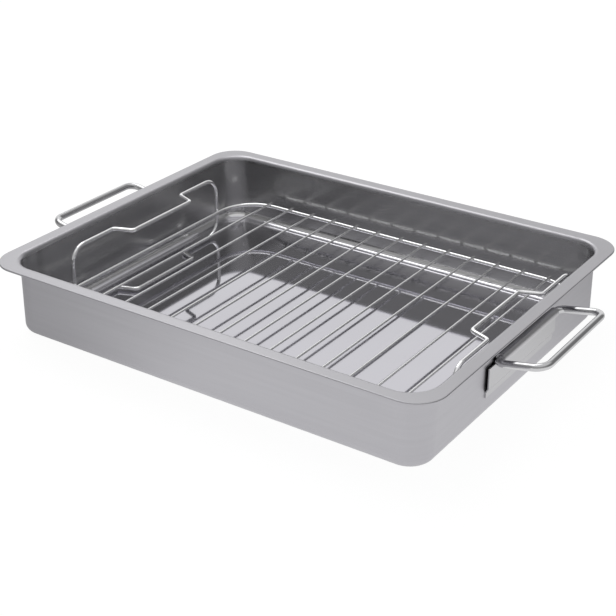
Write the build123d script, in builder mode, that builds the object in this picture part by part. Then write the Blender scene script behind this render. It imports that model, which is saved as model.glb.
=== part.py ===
from build123d import *
import math
import os

# Sizes in millimetres. X runs along the pan's length, Y across it and Z up.
# The origin is the middle of the pan's underside, on the surface that it stands on.

# Pan tray
rim_length = 420.0
rim_width = 330.0
pan_height = 64.7
sheet = 0.8
rim_overhang = 12.4
wall_draft = 0.8
rim_corner_radius = 26.0
wall_top_corner_radius = 25.0
wall_bottom_corner_radius = 20.0
bottom_edge_radius = 7.5
rim_bend_radius = 3.5
hem_gap = 0.2
hem_width = 3.6
hem_round_share = 0.47

# Handle and the bracket that it turns in, one pair on each end wall
handle_wire = 6.0
handle_reach = 39.4
handle_arm_spacing = 106.6
handle_pivot_bend = 6.5
handle_grip_bend = 10.0
handle_rest_angle = 10.5
pivot_drop = 17.0
pivot_clearance = 0.08
bracket_sheet = 1.0
bracket_standoff = 1.6
bracket_end_margin = 0.3
bracket_edge_margin = 10.0
bracket_weld_share = 0.15
bracket_joggle_share = 0.12
bracket_shoulder_gap = 1.7
barrel_end_gap = 1.0
barrel_curl_angle = 305.0

# Wire rack
frame_wire = 3.5
loop_wire = 3.5
cross_wire = 2.0
weld_set = 0.25
rack_left_clearance = 18.0
rack_right_clearance = 2.4
rack_side_clearance = 9.9
rack_seat_clearance = 0.3
rack_frame_corner = 37.7
rack_frame_lift = 22.45
loop_drop = 4.4
loop_end_margin = 2.0
loop_corner = 15.0
shoulder_span = 91.8
grip_span = 78.8
grip_inset = 17.3
grip_bend = 4.0
cross_wire_count = 13
cross_wire_end_margin = 32.3
cross_wire_tip = 0.45

# Outer faces of the tray's walls, at the top and at the foot
wall_length = rim_length - 2 * rim_overhang
wall_width = rim_width - 2 * rim_overhang
foot_length = wall_length - 2 * wall_draft
foot_width = wall_width - 2 * wall_draft
floor_draft = wall_draft * sheet / pan_height
hem_thickness = 2 * sheet + hem_gap


def wall_face(height):
    """Distance of the end wall's outer face from the middle, at a height."""
    return foot_length / 2 + wall_draft * height / pan_height


# The hollow of the tray, used to cut its inside
with BuildPart() as hollow:
    with BuildSketch(Plane.XY.offset(sheet)):
        RectangleRounded(
            foot_length + 2 * floor_draft - 2 * sheet,
            foot_width + 2 * floor_draft - 2 * sheet,
            wall_bottom_corner_radius - sheet,
        )
    with BuildSketch(Plane.XY.offset(pan_height)):
        RectangleRounded(
            wall_length - 2 * sheet,
            wall_width - 2 * sheet,
            wall_top_corner_radius - sheet,
        )
    loft(ruled=True)
    fillet(hollow.faces().sort_by(Axis.Z)[0].edges(), radius=bottom_edge_radius - sheet)

# Tray: drawn walls and floor, a flat rim, and the rim's outer edge folded under
with BuildPart() as pan_body:
    with BuildSketch(Plane.XY):
        RectangleRounded(foot_length, foot_width, wall_bottom_corner_radius)
    with BuildSketch(Plane.XY.offset(pan_height)):
        RectangleRounded(wall_length, wall_width, wall_top_corner_radius)
    loft(ruled=True)
    fillet(pan_body.faces().sort_by(Axis.Z)[0].edges(), radius=bottom_edge_radius)
    with BuildSketch(Plane.XY.offset(pan_height - sheet)):
        RectangleRounded(rim_length, rim_width, rim_corner_radius)
    extrude(amount=sheet)
    rim_underside = pan_body.faces().filter_by(Plane.XY).sort_by(Axis.Z)[-2]
    fillet(rim_underside.inner_wires()[0].edges(), radius=rim_bend_radius - sheet)
    with BuildSketch(Plane.XY.offset(pan_height - hem_thickness)):
        RectangleRounded(rim_length, rim_width, rim_corner_radius)
        RectangleRounded(
            rim_length - 2 * hem_width,
            rim_width - 2 * hem_width,
            rim_corner_radius - hem_width,
            mode=Mode.SUBTRACT,
        )
    extrude(amount=hem_thickness - sheet)
    add(hollow.part, mode=Mode.SUBTRACT)
    rim_top = pan_body.faces().sort_by(Axis.Z)[-1]
    fillet(rim_top.inner_wires()[0].edges(), radius=rim_bend_radius)
    rim_top = pan_body.faces().sort_by(Axis.Z)[-1]
    fillet(rim_top.outer_wire().edges(), radius=hem_thickness * hem_round_share)
    hem_underside = pan_body.faces().filter_by(Plane.XY).sort_by(Axis.Z)[2]
    fillet(hem_underside.outer_wire().edges(), radius=hem_thickness * hem_round_share)
pan_body.part.label = "pan_body"

# The handle's axis, as far out from the wall as its bracket's rolled edge needs
wire_radius = handle_wire / 2
barrel_bore_radius = wire_radius + pivot_clearance
barrel_radius = barrel_bore_radius + bracket_sheet
pivot_height = pan_height - pivot_drop
pivot_x = wall_face(pivot_height) + bracket_standoff + barrel_radius
arm_offset = handle_arm_spacing / 2

# The bracket's plate, from the top of the tray's curved bottom edge up to the barrel
bracket_length = handle_arm_spacing + handle_wire + 2 * bracket_end_margin
bracket_bottom = bottom_edge_radius + bracket_edge_margin
bracket_height = pivot_height - bracket_bottom
weld_top = bracket_bottom + bracket_height * bracket_weld_share
joggle_top = weld_top + bracket_height * bracket_joggle_share
shoulder_height = pivot_height - wire_radius - bracket_shoulder_gap
barrel_length = 2 * (arm_offset - handle_pivot_bend - barrel_end_gap)

# Bracket: a sheet plate spot-welded to the end wall, its upper edge rolled into a barrel
with BuildPart() as right_bracket:
    with BuildSketch(Plane.XZ):
        with BuildLine():
            Polyline(
                (wall_face(bracket_bottom), bracket_bottom),
                (wall_face(weld_top), weld_top),
                (pivot_x - barrel_radius, joggle_top),
                (pivot_x - barrel_radius, shoulder_height),
                (pivot_x - barrel_bore_radius, shoulder_height),
                (pivot_x - barrel_bore_radius, joggle_top),
                (wall_face(weld_top) + bracket_sheet, weld_top),
                (wall_face(bracket_bottom) + bracket_sheet, bracket_bottom),
                close=True,
            )
        make_face()
    extrude(amount=bracket_length / 2, both=True)
    with BuildSketch(Plane.XZ):
        with BuildLine():
            rise = Line(
                (pivot_x - barrel_radius, shoulder_height),
                (pivot_x - barrel_radius, pivot_height),
            )
            outside = CenterArc((pivot_x, pivot_height), barrel_radius, 180, -barrel_curl_angle)
            inside = CenterArc((pivot_x, pivot_height), barrel_bore_radius, 180, -barrel_curl_angle)
            Line(outside @ 1, inside @ 1)
            fall = Line(inside @ 0, (pivot_x - barrel_bore_radius, shoulder_height))
            Line(fall @ 1, rise @ 0)
        make_face()
    extrude(amount=barrel_length / 2, both=True)
right_bracket.part.label = "right_bracket"

with BuildPart() as left_bracket:
    mirror(right_bracket.part, about=Plane.YZ)
left_bracket.part.label = "left_bracket"

# Handle: one closed wire bail, its long side running through the bracket's barrel
arm_slope = math.radians(handle_rest_angle)
handle_plane = Plane(
    origin=(pivot_x, 0, pivot_height),
    x_dir=(math.cos(arm_slope), 0, math.sin(arm_slope)),
    z_dir=(-math.sin(arm_slope), 0, math.cos(arm_slope)),
)
with BuildPart() as right_handle:
    with BuildLine(handle_plane) as handle_line:
        FilletPolyline(
            (handle_reach, 0),
            (handle_reach, arm_offset),
            (0, arm_offset),
            (0, 0),
            radius=(handle_grip_bend, handle_pivot_bend),
        )
    with BuildSketch(Plane(origin=handle_line.line @ 0, z_dir=handle_line.line % 0)):
        Circle(wire_radius)
    sweep(path=handle_line.line)
    mirror(about=Plane.XZ)
right_handle.part.label = "right_handle"

with BuildPart() as left_handle:
    mirror(right_handle.part, about=Plane.YZ)
left_handle.part.label = "left_handle"

# Length of the rack, between the tray's end walls; it stands nearer the right one
foot_inside_length = foot_length - 2 * sheet
loop_spacing = foot_inside_length - rack_left_clearance - rack_right_clearance - loop_wire
rack_x = (rack_left_clearance - rack_right_clearance) / 2
loop_x = rack_x + loop_spacing / 2
frame_length = loop_spacing - loop_wire - frame_wire + 2 * weld_set

# Width of the rack, between the tray's front and back walls
cross_wire_overhang = frame_wire / 2 + cross_wire_tip
cross_length = foot_width - 2 * sheet - 2 * rack_side_clearance
frame_width = cross_length - 2 * cross_wire_overhang
loop_width = frame_width - 2 * (rack_frame_corner + loop_end_margin)
cross_wire_pitch = (frame_length - 2 * cross_wire_end_margin) / (cross_wire_count - 1)

# Heights of the rack: its end loops stand on the floor, clear of its curved edge
wall_lean = math.atan2(wall_draft, pan_height)
edge_centre_x = foot_length / 2 + bottom_edge_radius * (math.tan(wall_lean) - 1 / math.cos(wall_lean))
seat_radius = bottom_edge_radius - sheet - loop_wire / 2 - rack_seat_clearance
seat_run = max(loop_x - edge_centre_x, 0)
loop_bottom = bottom_edge_radius - math.sqrt(seat_radius ** 2 - seat_run ** 2)
loop_top = pan_height - loop_drop
frame_height = loop_bottom + rack_frame_lift
cross_height = frame_height + (frame_wire + cross_wire) / 2 - weld_set

# Rack frame: one thick wire bent to a rounded rectangle
with BuildPart() as rack_frame:
    with BuildLine(Plane.XY.offset(frame_height)) as frame_line:
        FilletPolyline(
            (rack_x - frame_length / 2, 0),
            (rack_x - frame_length / 2, frame_width / 2),
            (rack_x + frame_length / 2, frame_width / 2),
            (rack_x + frame_length / 2, 0),
            radius=rack_frame_corner,
        )
    with BuildSketch(Plane(origin=frame_line.line @ 0, z_dir=frame_line.line % 0)):
        Circle(frame_wire / 2)
    sweep(path=frame_line.line)
    mirror(about=Plane.XZ)
rack_frame.part.label = "rack_frame"

# End loops: a closed wire in a vertical plane, its grip and its foot set inward
with BuildPart() as right_loop:
    with BuildLine() as loop_line:
        FilletPolyline(
            (loop_x - grip_inset, 0, loop_bottom),
            (loop_x - grip_inset, grip_span / 2, loop_bottom),
            (loop_x, shoulder_span / 2, loop_bottom),
            (loop_x, loop_width / 2, loop_bottom),
            (loop_x, loop_width / 2, loop_top),
            (loop_x, shoulder_span / 2, loop_top),
            (loop_x - grip_inset, grip_span / 2, loop_top),
            (loop_x - grip_inset, 0, loop_top),
            radius=(grip_bend, grip_bend, loop_corner, loop_corner, grip_bend, grip_bend),
        )
    with BuildSketch(Plane(origin=loop_line.line @ 0, z_dir=loop_line.line % 0)):
        Circle(loop_wire / 2)
    sweep(path=loop_line.line)
    mirror(about=Plane.XZ)
    add(rack_frame.part, mode=Mode.SUBTRACT)
right_loop.part.label = "right_loop"

with BuildPart() as left_loop:
    mirror(right_loop.part, about=Plane.YZ.offset(rack_x))
left_loop.part.label = "left_loop"

# Cross wires, laid over the frame's long sides and spot-welded to them
cross_wires = []
for number in range(cross_wire_count):
    wire_x = rack_x + (number - (cross_wire_count - 1) / 2) * cross_wire_pitch
    with BuildPart() as wire:
        with BuildSketch(Plane.XZ):
            with Locations((wire_x, cross_height)):
                Circle(cross_wire / 2)
        extrude(amount=cross_length / 2, both=True)
        add(rack_frame.part, mode=Mode.SUBTRACT)
    wire.part.label = f"cross_wire_{number + 1:02d}"
    cross_wires.append(wire)

parts = [
    pan_body,
    left_bracket,
    right_bracket,
    left_handle,
    right_handle,
    rack_frame,
    left_loop,
    right_loop,
    *cross_wires,
]

os.makedirs("parts", exist_ok=True)
for piece in parts:
    export_step(piece.part, f"parts/{piece.part.label}.step")
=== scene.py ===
"""Roasting pan with a wire rack: finishes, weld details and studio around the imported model."""

from __future__ import annotations

import logging
import math
import random
from dataclasses import dataclass, field
from enum import Enum

import bmesh
import bpy
from mathutils import Matrix, Vector


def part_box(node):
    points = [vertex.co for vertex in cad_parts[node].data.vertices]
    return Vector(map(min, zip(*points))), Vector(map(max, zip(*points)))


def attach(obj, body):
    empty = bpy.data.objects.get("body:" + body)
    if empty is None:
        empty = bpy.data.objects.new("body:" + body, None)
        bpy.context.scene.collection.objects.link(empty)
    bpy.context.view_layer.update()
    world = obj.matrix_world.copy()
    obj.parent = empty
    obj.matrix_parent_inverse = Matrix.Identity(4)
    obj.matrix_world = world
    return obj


LOG = logging.getLogger("roasting_pan")
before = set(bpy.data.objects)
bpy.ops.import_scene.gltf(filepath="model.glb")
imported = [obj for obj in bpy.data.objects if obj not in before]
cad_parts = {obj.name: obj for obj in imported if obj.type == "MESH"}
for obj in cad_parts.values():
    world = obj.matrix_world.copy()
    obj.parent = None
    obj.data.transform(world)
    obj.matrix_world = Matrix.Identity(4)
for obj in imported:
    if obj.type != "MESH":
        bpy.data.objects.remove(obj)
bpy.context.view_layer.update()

Socket = bpy.types.NodeSocket
Triple = tuple[float, float, float]
NOISE_MIDDLE = 0.5
WHITE = (1.0, 1.0, 1.0, 1.0)
SEED = 4


class Side(Enum):
    """The pan's two ends, as the sign of X."""

    LEFT = -1
    RIGHT = 1


class NodeSheet:
    """A node tree that is being written, with one short call for each kind of node."""

    def __init__(self, tree: bpy.types.NodeTree) -> None:
        """Starts on an emptied tree.

        Args:
            tree: the tree to write in.
        """
        self.tree = tree
        tree.nodes.clear()

    def add(self, kind: str, **settings: object) -> bpy.types.Node:
        """Adds a node.

        Args:
            kind: the node's type name.
            settings: attributes of the node to set.

        Returns:
            The new node.
        """
        node = self.tree.nodes.new(kind)
        for name, value in settings.items():
            setattr(node, name, value)
        return node

    def feed(self, into: Socket, value: object) -> None:
        """Links a socket, or writes a plain value, into an input.

        Args:
            into: the input to fill.
            value: a socket to link, or a number, colour or vector.
        """
        if isinstance(value, bpy.types.NodeSocket):
            self.tree.links.new(value, into)
        else:
            into.default_value = value

    def math(self, operation: str, *values: object) -> Socket:
        """Adds a Math node.

        Args:
            operation: what it computes.
            values: its inputs, in order.

        Returns:
            The result's socket.
        """
        node = self.add("ShaderNodeMath", operation=operation)
        for into, value in zip(node.inputs, values):
            self.feed(into, value)
        return node.outputs[0]

    def vector(self, operation: str, *values: object, scale: float | None = None) -> Socket:
        """Adds a Vector Math node.

        Args:
            operation: what it computes.
            values: its vector inputs, in order.
            scale: the factor, where the operation is a scaling.

        Returns:
            The vector's socket, or the number's for a dot product or a length.
        """
        node = self.add("ShaderNodeVectorMath", operation=operation)
        for into, value in zip(node.inputs, values):
            self.feed(into, value)
        if scale is not None:
            node.inputs["Scale"].default_value = scale
        return node.outputs["Value" if operation in ("DOT_PRODUCT", "LENGTH") else "Vector"]

    def ramp(
        self, value: Socket, low: float, high: float, to_low: float = 0.0, to_high: float = 1.0
    ) -> Socket:
        """Adds a smooth change from one value to another.

        Args:
            value: what drives it.
            low: where the change starts.
            high: where the change ends.
            to_low: the result at and below low.
            to_high: the result at and above high.

        Returns:
            The result's socket.
        """
        node = self.add("ShaderNodeMapRange", interpolation_type="SMOOTHSTEP")
        limits = {"From Min": low, "From Max": high, "To Min": to_low, "To Max": to_high}
        for name, number in limits.items():
            node.inputs[name].default_value = number
        self.feed(node.inputs["Value"], value)
        return node.outputs["Result"]

    def mix(self, factor: object, first: object, second: object) -> Socket:
        """Adds a mix of two numbers.

        Args:
            factor: 0 for the first, 1 for the second.
            first: the first number.
            second: the second number.

        Returns:
            The result's socket.
        """
        node = self.add("ShaderNodeMix", data_type="FLOAT")
        for number, value in ((0, factor), (2, first), (3, second)):
            self.feed(node.inputs[number], value)
        return node.outputs[0]

    def mix_colour(self, factor: object, first: object, second: object) -> Socket:
        """Adds a mix of two colours.

        Args:
            factor: 0 for the first, 1 for the second.
            first: the first colour, with alpha where it is plain.
            second: the second colour, with alpha where it is plain.

        Returns:
            The colour's socket.
        """
        node = self.add("ShaderNodeMix", data_type="RGBA")
        for number, value in ((0, factor), (6, first), (7, second)):
            self.feed(node.inputs[number], value)
        return node.outputs[2]

    def scale_colour(self, colour: Socket, factor: Socket) -> Socket:
        """Makes a colour lighter or darker by a number.

        Args:
            colour: the colour.
            factor: 1 leaves it as it is.

        Returns:
            The colour's socket.
        """
        node = self.add("ShaderNodeMix", data_type="RGBA", blend_type="MULTIPLY")
        node.inputs[0].default_value = 1.0
        self.feed(node.inputs[6], colour)
        self.feed(node.inputs[7], factor)
        return node.outputs[2]

    def bump(self, shader: bpy.types.Node, height: Socket, strength: object, depth: float) -> None:
        """Gives a shader a bumped normal.

        Args:
            shader: the shader's node.
            height: the relief, in shares of the depth.
            strength: how much of it shows.
            depth: the relief's depth in metres.
        """
        node = self.add("ShaderNodeBump")
        node.inputs["Distance"].default_value = depth
        self.feed(node.inputs["Strength"], strength)
        self.feed(node.inputs["Height"], height)
        self.feed(shader.inputs["Normal"], node.outputs["Normal"])

    def noise(
        self, vector: Socket, scale: float, detail: float = 2.0, roughness: float = 0.5
    ) -> Socket:
        """Adds a noise texture.

        Args:
            vector: where it is read.
            scale: how many blobs there are in a unit of length.
            detail: how many finer octaves it has.
            roughness: how strong the finer octaves are.

        Returns:
            The noise's socket, about 0.5 on average.
        """
        node = self.add("ShaderNodeTexNoise")
        node.inputs["Scale"].default_value = scale
        node.inputs["Detail"].default_value = detail
        node.inputs["Roughness"].default_value = roughness
        self.feed(node.inputs["Vector"], vector)
        return node.outputs[0]


@dataclass(frozen=True)
class GrainShape:
    """The drawn metal's fine lines, and the wide bands behind them.

    band_share is how many bands there are to one line.
    """

    line_detail: float = 3.0
    line_breakup: float = 0.6
    band_share: float = 0.12
    band_detail: float = 2.0
    band_breakup: float = 0.5


@dataclass(frozen=True)
class MarksShape:
    """Marks of use: clouds of smudge, and thin bent scratches that lie in patches."""

    cloud_scale: float = 28.0
    cloud_detail: float = 4.0
    cloud_breakup: float = 0.55
    cloud_from: float = 0.46
    cloud_full: float = 0.72
    scratch_stretch: Triple = (900.0, 60.0, 300.0)
    scratch_half_width: float = 0.012
    bend_scale: float = 40.0
    bend: float = 0.006
    patch_scale: float = 60.0
    patch_from: float = 0.60
    patch_full: float = 0.70


class EffectGroups:
    """Surface effects that several finishes share, each a node group that is made once."""

    def __init__(self) -> None:
        """Makes the groups."""
        self.grain = self._grain(GrainShape())
        self.handling = self._handling(MarksShape())

    @staticmethod
    def _group(
        name: str, inputs: dict[str, str], outputs: dict[str, str]
    ) -> tuple[bpy.types.NodeTree, NodeSheet]:
        """Makes an empty group.

        Args:
            name: the group's name.
            inputs: socket type by input name.
            outputs: socket type by output name.

        Returns:
            The group and the sheet to write it on.
        """
        tree = bpy.data.node_groups.new(name, "ShaderNodeTree")
        for label, kind in inputs.items():
            tree.interface.new_socket(label, in_out="INPUT", socket_type=kind)
        for label, kind in outputs.items():
            tree.interface.new_socket(label, in_out="OUTPUT", socket_type=kind)
        return tree, NodeSheet(tree)

    def _grain(self, shape: GrainShape) -> bpy.types.NodeTree:
        """Makes fine drawn lines, stretched along one direction.

        Args:
            shape: how fine they are.

        Returns:
            The group: Position and Stretch in, Lines and Bands out, both about 0.5.
        """
        vector, value = "NodeSocketVector", "NodeSocketFloat"
        tree, sheet = self._group(
            "drawn_grain", {"Position": vector, "Stretch": vector}, {"Lines": value, "Bands": value}
        )
        source = sheet.add("NodeGroupInput")
        result = sheet.add("NodeGroupOutput")
        place = sheet.vector("MULTIPLY", source.outputs["Position"], source.outputs["Stretch"])
        lines = sheet.noise(place, 1.0, shape.line_detail, shape.line_breakup)
        sheet.feed(result.inputs["Lines"], lines)
        coarse = sheet.vector("SCALE", place, scale=shape.band_share)
        bands = sheet.noise(coarse, 1.0, shape.band_detail, shape.band_breakup)
        sheet.feed(result.inputs["Bands"], bands)
        return tree

    def _handling(self, shape: MarksShape) -> bpy.types.NodeTree:
        """Makes the faint marks of use: soft smudges and a few hair-fine scratches.

        Args:
            shape: how large and how common they are.

        Returns:
            The group: Position in, Smudge and Scratch out, both 0 where the metal is clean.
        """
        vector, value = "NodeSocketVector", "NodeSocketFloat"
        tree, sheet = self._group(
            "handling_marks", {"Position": vector}, {"Smudge": value, "Scratch": value}
        )
        source = sheet.add("NodeGroupInput")
        result = sheet.add("NodeGroupOutput")
        place = source.outputs["Position"]
        cloud = sheet.noise(place, shape.cloud_scale, shape.cloud_detail, shape.cloud_breakup)
        sheet.feed(result.inputs["Smudge"], sheet.ramp(cloud, shape.cloud_from, shape.cloud_full))
        push = sheet.vector("SCALE", self._spread(sheet, place, shape.bend_scale), scale=shape.bend)
        bent = sheet.vector("ADD", place, push)
        lines = sheet.noise(sheet.vector("MULTIPLY", bent, shape.scratch_stretch), 1.0, 0.0)
        band = sheet.math("ABSOLUTE", sheet.math("SUBTRACT", lines, NOISE_MIDDLE))
        thin = sheet.ramp(band, 0.0, shape.scratch_half_width, 1.0, 0.0)
        patch = sheet.noise(place, shape.patch_scale, 1.0)
        sparse = sheet.ramp(patch, shape.patch_from, shape.patch_full)
        sheet.feed(result.inputs["Scratch"], sheet.math("MULTIPLY", thin, sparse))
        return tree

    @staticmethod
    def _spread(sheet: NodeSheet, place: Socket, scale: float) -> Socket:
        """Adds a noise that pushes a place about.

        Args:
            sheet: where it is written.
            place: where it is read.
            scale: its blobs in a unit of length.

        Returns:
            The noise's colour as a vector.
        """
        node = sheet.add("ShaderNodeTexNoise")
        node.inputs["Scale"].default_value = scale
        sheet.feed(node.inputs["Vector"], place)
        return node.outputs["Color"]

    @staticmethod
    def place(sheet: NodeSheet, tree: bpy.types.NodeTree, **inputs: object) -> bpy.types.Node:
        """Puts a group into a material.

        Args:
            sheet: the material's sheet.
            tree: the group.
            inputs: what goes into it, by input name.

        Returns:
            The group's node.
        """
        node = sheet.add("ShaderNodeGroup", node_tree=tree)
        for name, value in inputs.items():
            sheet.feed(node.inputs[name], value)
        return node


def new_material(name: str) -> tuple[bpy.types.Material, NodeSheet, bpy.types.Node]:
    """Makes a material with one metal shader on its output.

    Args:
        name: the material's name.

    Returns:
        The material, its sheet and its shader node.
    """
    material = bpy.data.materials.new(name)
    material.use_nodes = True
    sheet = NodeSheet(material.node_tree)
    shader = sheet.add("ShaderNodeBsdfPrincipled")
    shader.inputs["Metallic"].default_value = 1.0
    output = sheet.add("ShaderNodeOutputMaterial")
    sheet.feed(output.inputs["Surface"], shader.outputs[0])
    return material, sheet, shader


def shade(colour: Triple, factor: float = 1.0) -> tuple[float, float, float, float]:
    """Gives a colour with alpha, made lighter or darker by a factor."""
    return (colour[0] * factor, colour[1] * factor, colour[2] * factor, 1.0)


@dataclass(frozen=True)
class TrayFinish:
    """Stainless sheet: satin outside and on the rim, polished inside, with a painted highlight at
    the foot.

    Heights are in metres above the surface that the tray stands on. below_rim and above_rim are the
    heights of two points over the tray's middle, and a surface that faces both faces the hollow.
    The rim shade's from and full limits are the upward parts of the normal between which a surface
    outside turns from wall to rim, and there its colour turns darker: painted shade on the rim's
    top.
    """

    outside: Triple = (0.482, 0.476, 0.502)
    # painted shade: the rim's top is the same satin sheet as the walls, coloured darker
    rim: Triple = (0.440, 0.435, 0.455)
    inside: Triple = (0.485, 0.484, 0.486)
    # painted highlight: colour of the inner walls' foot, much lighter than the rest of the inside
    smooth_foot_painted_highlight: Triple = (0.780, 0.778, 0.782)
    floor: Triple = (0.572, 0.565, 0.603)
    outside_roughness: float = 0.38
    wall_roughness: float = 0.22
    foot_roughness: float = 0.10
    floor_roughness: float = 0.05
    floor_top: float = 0.0012
    floor_shine_top: float = 0.0040
    foot_shine_top: float = 0.024
    bend_foot: float = 0.0599
    bend_top: float = 0.0626
    below_rim: float = 0.055
    above_rim: float = 0.075
    facing_blend: float = 0.06
    rim_shade_from: float = 0.6
    rim_shade_full: float = 0.95
    grain_stretch: Triple = (90.0, 90.0, 2600.0)
    band_tone: float = 0.10
    line_roughness: float = 0.10
    band_roughness: float = 0.03
    smudge_roughness: float = 0.012
    scratch_depth: float = 0.6
    bump_strength: float = 0.35
    bump_depth: float = 0.00002

    def material(self, effects: EffectGroups) -> bpy.types.Material:
        """Makes the tray's material.

        Args:
            effects: the shared surface effects.

        Returns:
            The material.
        """
        material, sheet, shader = new_material("tray_steel")
        coordinates = sheet.add("ShaderNodeTexCoord")
        place, facing = coordinates.outputs["Object"], coordinates.outputs["Normal"]
        height = self._upward(sheet, place)
        polished = sheet.ramp(height, self.bend_foot, self.bend_top, 1.0, 0.0)
        inside = sheet.math("MULTIPLY", self._faces_hollow(sheet, place, facing), polished)
        low = sheet.ramp(height, self.floor_top, self.floor_shine_top, 1.0, 0.0)
        floor = sheet.math("MULTIPLY", inside, low)
        # painted highlight zone: 1 at the inner walls' foot, fading out by foot_shine_top; this
        # zone is also smoother
        smooth_foot_painted_highlight = sheet.ramp(height, self.floor_shine_top, self.foot_shine_top, 1.0, 0.0)
        # painted shade mask: 1 on surfaces that face up, the rim's top
        rim_painted_shade_mask = sheet.ramp(self._upward(sheet, facing), self.rim_shade_from, self.rim_shade_full)
        grain = effects.place(sheet, effects.grain, Position=place, Stretch=self.grain_stretch)
        marks = effects.place(sheet, effects.handling, Position=place)
        lines = sheet.math("SUBTRACT", grain.outputs["Lines"], NOISE_MIDDLE)
        bands = sheet.math("SUBTRACT", grain.outputs["Bands"], NOISE_MIDDLE)

        # painted shade: surfaces facing up take the rim's darker colour
        outer = sheet.mix_colour(rim_painted_shade_mask, shade(self.outside), shade(self.rim))
        # painted highlight: the inner walls turn much lighter towards their foot
        inner = sheet.mix_colour(smooth_foot_painted_highlight, shade(self.inside), shade(self.smooth_foot_painted_highlight))
        colour = sheet.mix_colour(inside, outer, inner)
        colour = sheet.mix_colour(floor, colour, shade(self.floor))
        tone = sheet.math("MULTIPLY_ADD", bands, self.band_tone, 1.0)
        sheet.feed(shader.inputs["Base Color"], sheet.scale_colour(colour, tone))

        wall_rough = sheet.mix(smooth_foot_painted_highlight, self.wall_roughness, self.foot_roughness)
        rough = sheet.mix(inside, self.outside_roughness, wall_rough)
        rough = sheet.mix(floor, rough, self.floor_roughness)
        uneven = sheet.mix(inside, lines, bands)
        share = sheet.mix(inside, self.line_roughness, self.band_roughness)
        rough = sheet.math("MULTIPLY_ADD", uneven, share, rough)
        rough = sheet.math("MULTIPLY_ADD", marks.outputs["Smudge"], self.smudge_roughness, rough)
        sheet.feed(shader.inputs["Roughness"], rough)

        scratch = sheet.math("MULTIPLY", marks.outputs["Scratch"], self.scratch_depth)
        relief = sheet.math("SUBTRACT", lines, scratch)
        strength = sheet.mix(inside, self.bump_strength, 0.0)
        sheet.bump(shader, relief, strength, self.bump_depth)
        return material

    @staticmethod
    def _upward(sheet: NodeSheet, vector: Socket) -> Socket:
        """Takes the upward part of a vector.

        Args:
            sheet: where it is written.
            vector: the vector.

        Returns:
            Its Z.
        """
        split = sheet.add("ShaderNodeSeparateXYZ")
        sheet.feed(split.inputs[0], vector)
        return split.outputs["Z"]

    def _faces_hollow(self, sheet: NodeSheet, place: Socket, facing: Socket) -> Socket:
        """Finds the surfaces that face the tray's hollow.

        Args:
            sheet: where it is written.
            place: the point on the surface.
            facing: the surface's normal.

        Returns:
            1 inside the tray, 0 outside and on the rim.
        """
        results = []
        for height in (self.below_rim, self.above_rim):
            towards = sheet.vector("SUBTRACT", (0.0, 0.0, height), place)
            towards = sheet.vector("NORMALIZE", towards)
            facing_it = sheet.vector("DOT_PRODUCT", facing, towards)
            results.append(sheet.ramp(facing_it, 0.0, self.facing_blend))
        return sheet.math("MULTIPLY", results[0], results[1])


@dataclass(frozen=True)
class BracketFinish:
    """Satin stainless sheet of the brackets, as dull as the tray's outside."""

    colour: Triple = (0.53, 0.528, 0.540)
    darkest: float = 0.9
    lightest: float = 1.1
    roughness: float = 0.34
    grain_stretch: Triple = (2600.0, 80.0, 2600.0)
    band_tone: float = 0.12
    line_roughness: float = 0.12
    bump_strength: float = 0.3
    bump_depth: float = 0.00002

    def material(self, effects: EffectGroups) -> bpy.types.Material:
        """Makes the brackets' material.

        Args:
            effects: the shared surface effects.

        Returns:
            The material.
        """
        material, sheet, shader = new_material("bracket_steel")
        place = sheet.add("ShaderNodeTexCoord").outputs["Object"]
        grain = effects.place(sheet, effects.grain, Position=place, Stretch=self.grain_stretch)
        lines = sheet.math("SUBTRACT", grain.outputs["Lines"], NOISE_MIDDLE)
        bands = sheet.math("SUBTRACT", grain.outputs["Bands"], NOISE_MIDDLE)
        tone = sheet.math("MULTIPLY_ADD", bands, self.band_tone, NOISE_MIDDLE)
        dark, light = shade(self.colour, self.darkest), shade(self.colour, self.lightest)
        sheet.feed(shader.inputs["Base Color"], sheet.mix_colour(tone, dark, light))
        rough = sheet.math("MULTIPLY_ADD", lines, self.line_roughness, self.roughness)
        sheet.feed(shader.inputs["Roughness"], rough)
        sheet.bump(shader, lines, self.bump_strength, self.bump_depth)
        return material


@dataclass(frozen=True)
class WireFinish:
    """Drawn stainless wire, with lines along it and a slight change of tone."""

    name: str
    colour: Triple
    roughness: float
    stretch: Triple
    darkest: float = 0.94
    lightest: float = 1.06
    band_tone: float = 0.6
    band_start: float = 0.2
    line_roughness: float = 0.08
    smudge_roughness: float = 0.04
    bump_strength: float = 0.3
    bump_depth: float = 0.00001

    def material(self, effects: EffectGroups) -> bpy.types.Material:
        """Makes the wire's material.

        Args:
            effects: the shared surface effects.

        Returns:
            The material.
        """
        material, sheet, shader = new_material(self.name)
        place = sheet.add("ShaderNodeTexCoord").outputs["Object"]
        grain = effects.place(sheet, effects.grain, Position=place, Stretch=self.stretch)
        marks = effects.place(sheet, effects.handling, Position=place)
        lines = sheet.math("SUBTRACT", grain.outputs["Lines"], NOISE_MIDDLE)
        tone = sheet.math("MULTIPLY_ADD", grain.outputs["Bands"], self.band_tone, self.band_start)
        dark, light = shade(self.colour, self.darkest), shade(self.colour, self.lightest)
        sheet.feed(shader.inputs["Base Color"], sheet.mix_colour(tone, dark, light))
        rough = sheet.math("MULTIPLY_ADD", lines, self.line_roughness, self.roughness)
        rough = sheet.math("MULTIPLY_ADD", marks.outputs["Smudge"], self.smudge_roughness, rough)
        sheet.feed(shader.inputs["Roughness"], rough)
        sheet.bump(shader, lines, self.bump_strength, self.bump_depth)
        return material


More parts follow.
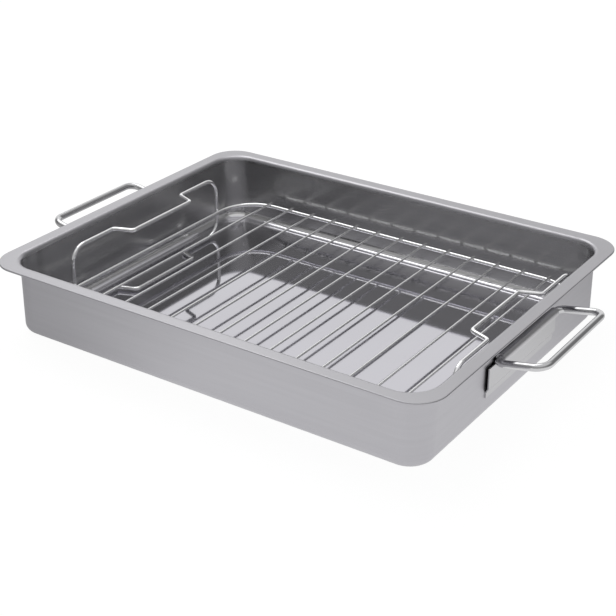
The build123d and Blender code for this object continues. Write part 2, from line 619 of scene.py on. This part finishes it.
@dataclass
class Tray:
    """The drawn tray."""

    finish: TrayFinish = field(default_factory=TrayFinish)

    def dress(self, effects: EffectGroups) -> None:
        """Gives the tray its finish."""
        paint(["pan_body"], self.finish.material(effects))


@dataclass
class Bracket:
    """One handle bracket, on an end wall."""

    side: Side

    def dress(self, material: bpy.types.Material) -> None:
        """Gives the bracket its finish."""
        paint([f"{self.side.name.lower()}_bracket"], material)


@dataclass
class Handle:
    """One fold-down wire handle."""

    side: Side

    def dress(self, material: bpy.types.Material) -> None:
        """Gives the handle its finish."""
        paint([f"{self.side.name.lower()}_handle"], material)


@dataclass
class Rack:
    """The loose wire rack."""

    frame_finish: WireFinish = WireFinish(
        "frame_wire", (0.93, 0.93, 0.94), roughness=0.13, stretch=(700.0, 700.0, 700.0)
    )
    cross_finish: WireFinish = WireFinish(
        "cross_wire", (0.96, 0.96, 0.97), roughness=0.18, stretch=(900.0, 60.0, 900.0)
    )
    weld_length: float = 0.0017
    weld_width: float = 0.0013
    weld_height: float = 0.0007
    weld_unevenness: float = 0.04
    weld_segments: int = 16
    weld_rings: int = 10

    def dress(self, effects: EffectGroups) -> None:
        """Gives the rack's wires their finishes and their spot welds."""
        thick = self.frame_finish.material(effects)
        paint(["rack_frame", "left_loop", "right_loop"], thick)
        crossing = sorted(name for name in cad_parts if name.startswith("cross_wire_"))
        paint(crossing, self.cross_finish.material(effects))
        self._cross_welds(crossing, thick)
        self._end_welds(thick)

    def _cross_welds(self, crossing: list[str], material: bpy.types.Material) -> None:
        """Puts a small flat bead of metal at each crossing of a thin wire and the frame.

        Args:
            crossing: the thin wires' nodes.
            material: the welds' finish.
        """
        low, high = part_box("rack_frame")
        half_wire = (high.z - low.z) / 2
        for name in crossing:
            thin_low, thin_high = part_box(name)
            middle = (thin_low.x + thin_high.x) / 2
            for end, y in (("front", low.y + half_wire), ("back", high.y - half_wire)):
                place = Vector((middle, y, high.z))
                self._weld(f"weld_{name[-2:]}_{end}", place, material, turned=False)

    def _end_welds(self, material: bpy.types.Material) -> None:
        """Puts a bead between the frame and each upright of the end loops.

        Args:
            material: the welds' finish.
        """
        low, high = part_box("rack_frame")
        middle = (low.z + high.z) / 2
        half_wire = (high.z - low.z) / 2
        for side, x in ((Side.LEFT, low.x), (Side.RIGHT, high.x)):
            loop_low, loop_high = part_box(f"{side.name.lower()}_loop")
            for end, y in (("front", loop_low.y + half_wire), ("back", loop_high.y - half_wire)):
                place = Vector((x, y, middle))
                self._weld(f"{side.name.lower()}_loop_weld_{end}", place, material, turned=True)

    def _weld(self, name: str, place: Vector, material: bpy.types.Material, turned: bool) -> None:
        """Makes one weld bead.

        Args:
            name: the bead's name.
            place: its middle.
            material: its finish.
            turned: whether it stands upright between two thick wires.
        """
        size = (self.weld_width, self.weld_length, self.weld_height)
        if turned:
            size = (self.weld_height, self.weld_width, self.weld_length)
        mesh = bpy.data.meshes.new(name)
        shape = bmesh.new()
        bmesh.ops.create_uvsphere(
            shape, u_segments=self.weld_segments, v_segments=self.weld_rings, radius=1.0
        )
        for corner in shape.verts:
            uneven = 1.0 + random.uniform(-self.weld_unevenness, self.weld_unevenness)
            corner.co = Vector(part * length * uneven for part, length in zip(corner.co, size))
        for face in shape.faces:
            face.smooth = True
        shape.to_mesh(mesh)
        shape.free()
        mesh.materials.append(material)
        bead = bpy.data.objects.new(name, mesh)
        bead.location = place
        bpy.context.scene.collection.objects.link(bead)
        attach(bead, "rack")
        LOG.info("%s: %s", name, material.name)


def paint(names: list[str], material: bpy.types.Material) -> None:
    """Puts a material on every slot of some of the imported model's nodes.

    Args:
        names: the nodes.
        material: what goes on them.
    """
    for name in names:
        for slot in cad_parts[name].material_slots:
            slot.material = material
        LOG.info("%s: %s", name, material.name)


@dataclass(frozen=True)
class Panorama:
    """What the metal mirrors: a white backdrop behind, a pale ceiling, and a dim room all round.

    Each from and full pair says where a part of the room starts and where it is at its full level,
    as the cosine of the angle to its middle. The ceiling's middle is straight up.
    """

    backdrop: float = 1.0
    room: float = 0.24
    front: float = 0.42
    ceiling: float = 0.80
    towards_backdrop: Triple = (-0.567, 0.824, 0.0)
    towards_front: Triple = (0.30, -0.954, 0.0)
    backdrop_from: float = 0.58
    backdrop_full: float = 0.86
    front_from: float = 0.1
    front_full: float = 0.9
    ceiling_from: float = 0.55
    ceiling_full: float = 0.90

    def build(self) -> None:
        """Writes the world."""
        world = bpy.data.worlds.new("studio")
        world.use_nodes = True
        bpy.context.scene.world = world
        sheet = NodeSheet(world.node_tree)
        direction = sheet.add("ShaderNodeTexCoord").outputs["Generated"]
        split = sheet.add("ShaderNodeSeparateXYZ")
        sheet.feed(split.inputs[0], direction)
        forward = sheet.vector("DOT_PRODUCT", direction, self.towards_front)
        level = sheet.ramp(forward, self.front_from, self.front_full, self.room, self.front)
        back = sheet.vector("DOT_PRODUCT", direction, self.towards_backdrop)
        behind = sheet.ramp(back, self.backdrop_from, self.backdrop_full)
        level = sheet.mix(behind, level, self.backdrop)
        above = sheet.ramp(split.outputs["Z"], self.ceiling_from, self.ceiling_full)
        level = sheet.mix(above, level, self.ceiling)
        seen = sheet.add("ShaderNodeLightPath").outputs["Is Camera Ray"]
        level = sheet.mix(seen, level, 1.0)
        background = sheet.add("ShaderNodeBackground")
        background.inputs["Color"].default_value = WHITE
        sheet.feed(background.inputs["Strength"], level)
        output = sheet.add("ShaderNodeOutputWorld")
        sheet.feed(output.inputs["Surface"], background.outputs[0])


@dataclass
class Studio:
    """A pale floor, one large soft lamp, the room's light and the camera."""

    floor_radius: float = 4.0
    floor_segments: int = 96
    floor_drop: float = 0.0002
    floor_glow: float = 0.94
    floor_faint: float = 0.10
    floor_colour: Triple = (0.80, 0.80, 0.80)
    brightest_floor: Triple = (0.70, -0.714, 0.0)
    floor_from: float = -0.3
    floor_full: float = 0.7
    far_floor_level: float = 0.50
    near_floor_level: float = 0.97
    lamp_size: float = 1.2
    lamp_radiance: float = 1.7
    lamp_place: Triple = (-0.85, 0.40, 1.50)
    azimuth: float = 34.54
    elevation: float = 26.95
    roll: float = -0.25
    aim: Triple = (-0.01961, 0.02648, -0.0038)
    distance: float = 1.19448
    lens: float = 79.457
    sensor: float = 36.0

    def build(self) -> None:
        """Sets up the whole studio."""
        Panorama().build()
        self._floor()
        self._lamp()
        self._camera()
        view = bpy.context.scene.view_settings
        view.view_transform = "Standard"
        LOG.info("studio: floor, lamp, room and camera")

    def _floor(self) -> None:
        """Lays the floor that the pan stands on."""
        mesh = bpy.data.meshes.new("studio_floor")
        shape = bmesh.new()
        bmesh.ops.create_circle(
            shape, cap_ends=True, segments=self.floor_segments, radius=self.floor_radius
        )
        shape.to_mesh(mesh)
        shape.free()
        floor = bpy.data.objects.new("studio_floor", mesh)
        floor.location.z = -self.floor_drop
        bpy.context.scene.collection.objects.link(floor)
        mesh.materials.append(self._floor_material())

    def _floor_material(self) -> bpy.types.Material:
        """Makes the floor's material.

        It glows evenly for the camera and by direction in what the metal mirrors, and to all other
        light it is plain and pale.

        Returns:
            The material.
        """
        material = bpy.data.materials.new("studio_floor")
        material.use_nodes = True
        sheet = NodeSheet(material.node_tree)
        path = sheet.add("ShaderNodeLightPath")
        place = sheet.vector("NORMALIZE", sheet.add("ShaderNodeTexCoord").outputs["Object"])
        towards = sheet.vector("DOT_PRODUCT", place, self.brightest_floor)
        mirrored = sheet.ramp(
            towards, self.floor_from, self.floor_full, self.far_floor_level, self.near_floor_level
        )
        level = sheet.mix(path.outputs["Is Camera Ray"], mirrored, 1.0)
        plain = sheet.add("ShaderNodeBsdfDiffuse")
        plain.inputs["Color"].default_value = shade(self.floor_colour)
        faint = sheet.add("ShaderNodeBsdfDiffuse")
        faint.inputs["Color"].default_value = shade((self.floor_faint,) * 3)
        glow = sheet.add("ShaderNodeEmission")
        sheet.feed(glow.inputs["Strength"], sheet.math("MULTIPLY", level, self.floor_glow))
        both = sheet.add("ShaderNodeAddShader")
        sheet.feed(both.inputs[0], faint.outputs[0])
        sheet.feed(both.inputs[1], glow.outputs[0])
        direct = sheet.math("MAXIMUM", path.outputs["Is Camera Ray"], path.outputs["Is Glossy Ray"])
        direct = sheet.math("MAXIMUM", direct, path.outputs["Is Transmission Ray"])
        mixed = sheet.add("ShaderNodeMixShader")
        for into, value in zip(mixed.inputs, (direct, plain.outputs[0], both.outputs[0])):
            sheet.feed(into, value)
        output = sheet.add("ShaderNodeOutputMaterial")
        sheet.feed(output.inputs["Surface"], mixed.outputs[0])
        return material

    def _lamp(self) -> None:
        """Hangs the soft lamp above and behind the pan."""
        data = bpy.data.lights.new("softbox", "AREA")
        data.shape = "SQUARE"
        data.size = self.lamp_size
        data.energy = self.lamp_radiance * math.pi * self.lamp_size**2
        lamp = bpy.data.objects.new("softbox", data)
        lamp.location = self.lamp_place
        lamp.rotation_euler = Vector(self.lamp_place).to_track_quat("Z", "Y").to_euler()
        lamp.visible_camera = False
        bpy.context.scene.collection.objects.link(lamp)

    def _camera(self) -> None:
        """Sets the camera at the photograph's angle."""
        turn, tilt, roll = (math.radians(v) for v in (self.azimuth, self.elevation, self.roll))
        back = Vector(
            (math.sin(turn) * math.cos(tilt), -math.cos(turn) * math.cos(tilt), math.sin(tilt))
        )
        level = Vector((math.cos(turn), math.sin(turn), 0.0))
        upright = back.cross(level)
        across = math.cos(roll) * level + math.sin(roll) * upright
        above = -math.sin(roll) * level + math.cos(roll) * upright
        place = Vector(self.aim) + back * self.distance
        data = bpy.data.cameras.new("camera")
        data.lens = self.lens
        data.sensor_width = self.sensor
        camera = bpy.data.objects.new("camera", data)
        columns = Matrix((across, above, back)).transposed().to_4x4()
        camera.matrix_world = Matrix.Translation(place) @ columns
        bpy.context.scene.collection.objects.link(camera)
        bpy.context.scene.camera = camera


def main() -> None:
    """Dresses each sub-assembly in order, then sets up the studio."""
    logging.basicConfig(level=logging.INFO, format="%(name)s: %(message)s")
    random.seed(SEED)
    effects = EffectGroups()
    Tray().dress(effects)
    bracket_steel = BracketFinish().material(effects)
    handle_finish = WireFinish(
        "handle_wire", (0.60, 0.60, 0.61), roughness=0.12, stretch=(900.0, 900.0, 900.0)
    )
    handle_wire = handle_finish.material(effects)
    for side in Side:
        Bracket(side).dress(bracket_steel)
        Handle(side).dress(handle_wire)
    Rack().dress(effects)
    Studio().build()


if __name__ == "__main__":
    main()
